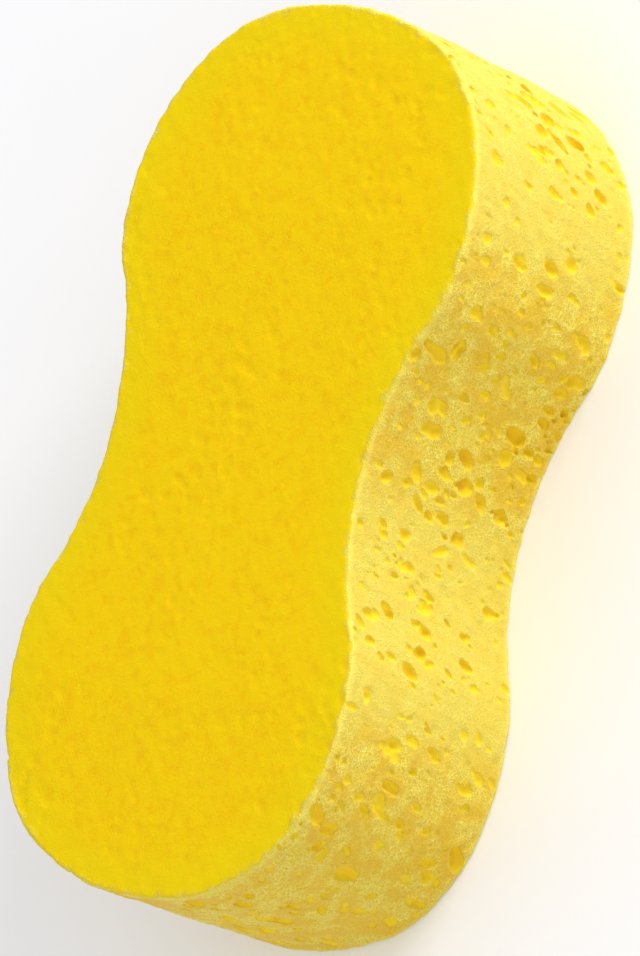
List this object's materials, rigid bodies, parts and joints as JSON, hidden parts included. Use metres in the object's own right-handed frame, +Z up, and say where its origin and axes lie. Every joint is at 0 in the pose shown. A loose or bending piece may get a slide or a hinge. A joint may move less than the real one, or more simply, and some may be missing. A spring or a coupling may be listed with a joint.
{
  "type": "foam sponge",
  "caption": "Peanut-shaped one-piece foam hand sponge with two round lobes and a waist to grip, for wiping, washing and daubing.",
  "frame": {"origin": "centre of the large face that the sponge lies on, on the surface under it", "axes": "+X along the length from lobe to lobe, +Y across the waist, +Z up through the thickness towards the other large face"},
  "size_m": [0.22, 0.104, 0.064],
  "materials": {
    "foam": "matte open-cell foam"
  },
  "bodies": {
    "root": {"sponge_body": "foam"}
  },
  "joints": []
}
